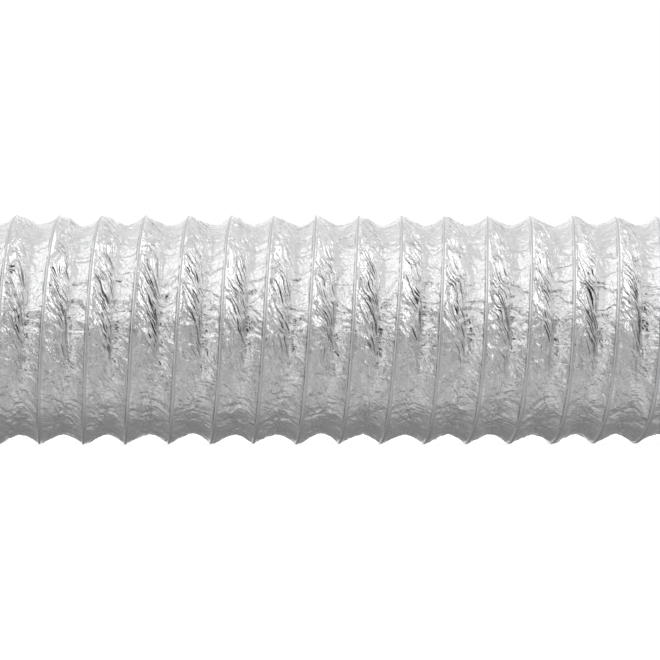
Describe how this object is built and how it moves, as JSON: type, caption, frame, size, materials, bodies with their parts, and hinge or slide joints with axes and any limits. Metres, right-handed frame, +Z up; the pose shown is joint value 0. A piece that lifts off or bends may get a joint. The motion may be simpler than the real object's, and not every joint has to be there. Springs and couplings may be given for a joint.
{
  "type": "flexible air duct",
  "caption": "Flexible round air duct of aluminium foil over a steel wire helix, with plain round cuffs, that shortens like a bellows and bends.",
  "frame": {"origin": "on the floor under the middle of the duct, which lies on its side", "axes": "+X along the duct's axis towards its right end, +Z up, so the axis is half an outer diameter above the origin"},
  "size_m": [0.393, 0.1062, 0.1059],
  "materials": {
    "outer_foil": "crinkled bright foil",
    "inner_foil": "crinkled bright foil",
    "wire": "drawn spring wire"
  },
  "bodies": {
    "left_end": {"left_cuff": "outer_foil", "left_inner_end_foil": "inner_foil", "left_outer_end_foil": "outer_foil", "wire_turn_01": "wire"},
    "span_01": {"inner_foil_turn_01": "inner_foil", "outer_foil_turn_01": "outer_foil"},
    "coil_02": {"wire_turn_02": "wire"},
    "span_02": {"inner_foil_turn_02": "inner_foil", "outer_foil_turn_02": "outer_foil"},
    "coil_03": {"wire_turn_03": "wire"},
    "span_03": {"inner_foil_turn_03": "inner_foil", "outer_foil_turn_03": "outer_foil"},
    "coil_04": {"wire_turn_04": "wire"},
    "span_04": {"inner_foil_turn_04": "inner_foil", "outer_foil_turn_04": "outer_foil"},
    "coil_05": {"wire_turn_05": "wire"},
    "span_05": {"inner_foil_turn_05": "inner_foil", "outer_foil_turn_05": "outer_foil"},
    "coil_06": {"wire_turn_06": "wire"},
    "span_06": {"inner_foil_turn_06": "inner_foil", "outer_foil_turn_06": "outer_foil"},
    "coil_07": {"wire_turn_07": "wire"},
    "span_07": {"inner_foil_turn_07": "inner_foil", "outer_foil_turn_07": "outer_foil"},
    "coil_08": {"wire_turn_08": "wire"},
    "span_08": {"inner_foil_turn_08": "inner_foil", "outer_foil_turn_08": "outer_foil"},
    "coil_09": {"wire_turn_09": "wire"},
    "span_09": {"inner_foil_turn_09": "inner_foil", "outer_foil_turn_09": "outer_foil"},
    "coil_10": {"wire_turn_10": "wire"},
    "span_10": {"inner_foil_turn_10": "inner_foil", "outer_foil_turn_10": "outer_foil"},
    "coil_11": {"wire_turn_11": "wire"},
    "span_11": {"inner_foil_turn_11": "inner_foil", "outer_foil_turn_11": "outer_foil"},
    "coil_12": {"wire_turn_12": "wire"},
    "span_12": {"inner_foil_turn_12": "inner_foil", "outer_foil_turn_12": "outer_foil"},
    "coil_13": {"wire_turn_13": "wire"},
    "span_13": {"inner_foil_turn_13": "inner_foil", "outer_foil_turn_13": "outer_foil"},
    "coil_14": {"wire_turn_14": "wire"},
    "span_14": {"inner_foil_turn_14": "inner_foil", "outer_foil_turn_14": "outer_foil"},
    "coil_15": {"wire_turn_15": "wire"},
    "span_15": {"inner_foil_turn_15": "inner_foil", "outer_foil_turn_15": "outer_foil"},
    "coil_16": {"wire_turn_16": "wire"},
    "span_16": {"inner_foil_turn_16": "inner_foil", "outer_foil_turn_16": "outer_foil"},
    "coil_17": {"wire_turn_17": "wire"},
    "span_17": {"inner_foil_turn_17": "inner_foil", "outer_foil_turn_17": "outer_foil"},
    "right_end": {"wire_turn_18": "wire", "right_inner_end_foil": "inner_foil", "right_outer_end_foil": "outer_foil", "right_cuff": "outer_foil"}
  },
  "joints": [
    {"name": "compress_01", "type": "slide", "parent": "left_end", "child": "span_01", "axis": [-1, 0, 0], "range_m": [0, 0.009], "deforming": ["inner_foil_turn_01", "outer_foil_turn_01"]},
    {"name": "bend_01", "type": "hinge", "parent": "span_01", "child": "coil_02", "pos_m": [-0.1568, 0, 0.05272], "axis": [0, 0, 1], "range_deg": [-5, 5], "deforming": ["inner_foil_turn_01", "outer_foil_turn_01"]},
    {"name": "compress_02", "type": "slide", "parent": "coil_02", "child": "span_02", "axis": [-1, 0, 0], "range_m": [0, 0.009], "deforming": ["inner_foil_turn_02", "outer_foil_turn_02"]},
    {"name": "bend_02", "type": "hinge", "parent": "span_02", "child": "coil_03", "pos_m": [-0.1372, 0, 0.05272], "axis": [0, 0, 1], "range_deg": [-5, 5], "deforming": ["inner_foil_turn_02", "outer_foil_turn_02"]},
    {"name": "compress_03", "type": "slide", "parent": "coil_03", "child": "span_03", "axis": [-1, 0, 0], "range_m": [0, 0.009], "deforming": ["inner_foil_turn_03", "outer_foil_turn_03"]},
    {"name": "bend_03", "type": "hinge", "parent": "span_03", "child": "coil_04", "pos_m": [-0.1176, 0, 0.05272], "axis": [0, 0, 1], "range_deg": [-5, 5], "deforming": ["inner_foil_turn_03", "outer_foil_turn_03"]},
    {"name": "compress_04", "type": "slide", "parent": "coil_04", "child": "span_04", "axis": [-1, 0, 0], "range_m": [0, 0.009], "deforming": ["inner_foil_turn_04", "outer_foil_turn_04"]},
    {"name": "bend_04", "type": "hinge", "parent": "span_04", "child": "coil_05", "pos_m": [-0.098, 0, 0.05272], "axis": [0, 0, 1], "range_deg": [-5, 5], "deforming": ["inner_foil_turn_04", "outer_foil_turn_04"]},
    {"name": "compress_05", "type": "slide", "parent": "coil_05", "child": "span_05", "axis": [-1, 0, 0], "range_m": [0, 0.009], "deforming": ["inner_foil_turn_05", "outer_foil_turn_05"]},
    {"name": "bend_05", "type": "hinge", "parent": "span_05", "child": "coil_06", "pos_m": [-0.0784, 0, 0.05272], "axis": [0, 0, 1], "range_deg": [-5, 5], "deforming": ["inner_foil_turn_05", "outer_foil_turn_05"]},
    {"name": "compress_06", "type": "slide", "parent": "coil_06", "child": "span_06", "axis": [-1, 0, 0], "range_m": [0, 0.009], "deforming": ["inner_foil_turn_06", "outer_foil_turn_06"]},
    {"name": "bend_06", "type": "hinge", "parent": "span_06", "child": "coil_07", "pos_m": [-0.0588, 0, 0.05272], "axis": [0, 0, 1], "range_deg": [-5, 5], "deforming": ["inner_foil_turn_06", "outer_foil_turn_06"]},
    {"name": "compress_07", "type": "slide", "parent": "coil_07", "child": "span_07", "axis": [-1, 0, 0], "range_m": [0, 0.009], "deforming": ["inner_foil_turn_07", "outer_foil_turn_07"]},
    {"name": "bend_07", "type": "hinge", "parent": "span_07", "child": "coil_08", "pos_m": [-0.0392, 0, 0.05272], "axis": [0, 0, 1], "range_deg": [-5, 5], "deforming": ["inner_foil_turn_07", "outer_foil_turn_07"]},
    {"name": "compress_08", "type": "slide", "parent": "coil_08", "child": "span_08", "axis": [-1, 0, 0], "range_m": [0, 0.009], "deforming": ["inner_foil_turn_08", "outer_foil_turn_08"]},
    {"name": "bend_08", "type": "hinge", "parent": "span_08", "child": "coil_09", "pos_m": [-0.0196, 0, 0.05272], "axis": [0, 0, 1], "range_deg": [-5, 5], "deforming": ["inner_foil_turn_08", "outer_foil_turn_08"]},
    {"name": "compress_09", "type": "slide", "parent": "coil_09", "child": "span_09", "axis": [-1, 0, 0], "range_m": [0, 0.009], "deforming": ["inner_foil_turn_09", "outer_foil_turn_09"]},
    {"name": "bend_09", "type": "hinge", "parent": "span_09", "child": "coil_10", "pos_m": [0, 0, 0.05272], "axis": [0, 0, 1], "range_deg": [-5, 5], "deforming": ["inner_foil_turn_09", "outer_foil_turn_09"]},
    {"name": "compress_10", "type": "slide", "parent": "coil_10", "child": "span_10", "axis": [-1, 0, 0], "range_m": [0, 0.009], "deforming": ["inner_foil_turn_10", "outer_foil_turn_10"]},
    {"name": "bend_10", "type": "hinge", "parent": "span_10", "child": "coil_11", "pos_m": [0.0196, 0, 0.05272], "axis": [0, 0, 1], "range_deg": [-5, 5], "deforming": ["inner_foil_turn_10", "outer_foil_turn_10"]},
    {"name": "compress_11", "type": "slide", "parent": "coil_11", "child": "span_11", "axis": [-1, 0, 0], "range_m": [0, 0.009], "deforming": ["inner_foil_turn_11", "outer_foil_turn_11"]},
    {"name": "bend_11", "type": "hinge", "parent": "span_11", "child": "coil_12", "pos_m": [0.0392, 0, 0.05272], "axis": [0, 0, 1], "range_deg": [-5, 5], "deforming": ["inner_foil_turn_11", "outer_foil_turn_11"]},
    {"name": "compress_12", "type": "slide", "parent": "coil_12", "child": "span_12", "axis": [-1, 0, 0], "range_m": [0, 0.009], "deforming": ["inner_foil_turn_12", "outer_foil_turn_12"]},
    {"name": "bend_12", "type": "hinge", "parent": "span_12", "child": "coil_13", "pos_m": [0.0588, 0, 0.05272], "axis": [0, 0, 1], "range_deg": [-5, 5], "deforming": ["inner_foil_turn_12", "outer_foil_turn_12"]},
    {"name": "compress_13", "type": "slide", "parent": "coil_13", "child": "span_13", "axis": [-1, 0, 0], "range_m": [0, 0.009], "deforming": ["inner_foil_turn_13", "outer_foil_turn_13"]},
    {"name": "bend_13", "type": "hinge", "parent": "span_13", "child": "coil_14", "pos_m": [0.0784, 0, 0.05272], "axis": [0, 0, 1], "range_deg": [-5, 5], "deforming": ["inner_foil_turn_13", "outer_foil_turn_13"]},
    {"name": "compress_14", "type": "slide", "parent": "coil_14", "child": "span_14", "axis": [-1, 0, 0], "range_m": [0, 0.009], "deforming": ["inner_foil_turn_14", "outer_foil_turn_14"]},
    {"name": "bend_14", "type": "hinge", "parent": "span_14", "child": "coil_15", "pos_m": [0.098, 0, 0.05272], "axis": [0, 0, 1], "range_deg": [-5, 5], "deforming": ["inner_foil_turn_14", "outer_foil_turn_14"]},
    {"name": "compress_15", "type": "slide", "parent": "coil_15", "child": "span_15", "axis": [-1, 0, 0], "range_m": [0, 0.009], "deforming": ["inner_foil_turn_15", "outer_foil_turn_15"]},
    {"name": "bend_15", "type": "hinge", "parent": "span_15", "child": "coil_16", "pos_m": [0.1176, 0, 0.05272], "axis": [0, 0, 1], "range_deg": [-5, 5], "deforming": ["inner_foil_turn_15", "outer_foil_turn_15"]},
    {"name": "compress_16", "type": "slide", "parent": "coil_16", "child": "span_16", "axis": [-1, 0, 0], "range_m": [0, 0.009], "deforming": ["inner_foil_turn_16", "outer_foil_turn_16"]},
    {"name": "bend_16", "type": "hinge", "parent": "span_16", "child": "coil_17", "pos_m": [0.1372, 0, 0.05272], "axis": [0, 0, 1], "range_deg": [-5, 5], "deforming": ["inner_foil_turn_16", "outer_foil_turn_16"]},
    {"name": "compress_17", "type": "slide", "parent": "coil_17", "child": "span_17", "axis": [-1, 0, 0], "range_m": [0, 0.009], "deforming": ["inner_foil_turn_17", "outer_foil_turn_17"]},
    {"name": "bend_17", "type": "hinge", "parent": "span_17", "child": "right_end", "pos_m": [0.1568, 0, 0.05272], "axis": [0, 0, 1], "range_deg": [-5, 5], "deforming": ["inner_foil_turn_17", "outer_foil_turn_17"]}
  ],
  "couplings": [
    {"joint": "compress_02", "follows": "compress_01", "ratio": 1},
    {"joint": "bend_02", "follows": "bend_01", "ratio": 1},
    {"joint": "compress_03", "follows": "compress_01", "ratio": 1},
    {"joint": "bend_03", "follows": "bend_01", "ratio": 1},
    {"joint": "compress_04", "follows": "compress_01", "ratio": 1},
    {"joint": "bend_04", "follows": "bend_01", "ratio": 1},
    {"joint": "compress_05", "follows": "compress_01", "ratio": 1},
    {"joint": "bend_05", "follows": "bend_01", "ratio": 1},
    {"joint": "compress_06", "follows": "compress_01", "ratio": 1},
    {"joint": "bend_06", "follows": "bend_01", "ratio": 1},
    {"joint": "compress_07", "follows": "compress_01", "ratio": 1},
    {"joint": "bend_07", "follows": "bend_01", "ratio": 1},
    {"joint": "compress_08", "follows": "compress_01", "ratio": 1},
    {"joint": "bend_08", "follows": "bend_01", "ratio": 1},
    {"joint": "compress_09", "follows": "compress_01", "ratio": 1},
    {"joint": "bend_09", "follows": "bend_01", "ratio": 1},
    {"joint": "compress_10", "follows": "compress_01", "ratio": 1},
    {"joint": "bend_10", "follows": "bend_01", "ratio": 1},
    {"joint": "compress_11", "follows": "compress_01", "ratio": 1},
    {"joint": "bend_11", "follows": "bend_01", "ratio": 1},
    {"joint": "compress_12", "follows": "compress_01", "ratio": 1},
    {"joint": "bend_12", "follows": "bend_01", "ratio": 1},
    {"joint": "compress_13", "follows": "compress_01", "ratio": 1},
    {"joint": "bend_13", "follows": "bend_01", "ratio": 1},
    {"joint": "compress_14", "follows": "compress_01", "ratio": 1},
    {"joint": "bend_14", "follows": "bend_01", "ratio": 1},
    {"joint": "compress_15", "follows": "compress_01", "ratio": 1},
    {"joint": "bend_15", "follows": "bend_01", "ratio": 1},
    {"joint": "compress_16", "follows": "compress_01", "ratio": 1},
    {"joint": "bend_16", "follows": "bend_01", "ratio": 1},
    {"joint": "compress_17", "follows": "compress_01", "ratio": 1},
    {"joint": "bend_17", "follows": "bend_01", "ratio": 1}
  ]
}
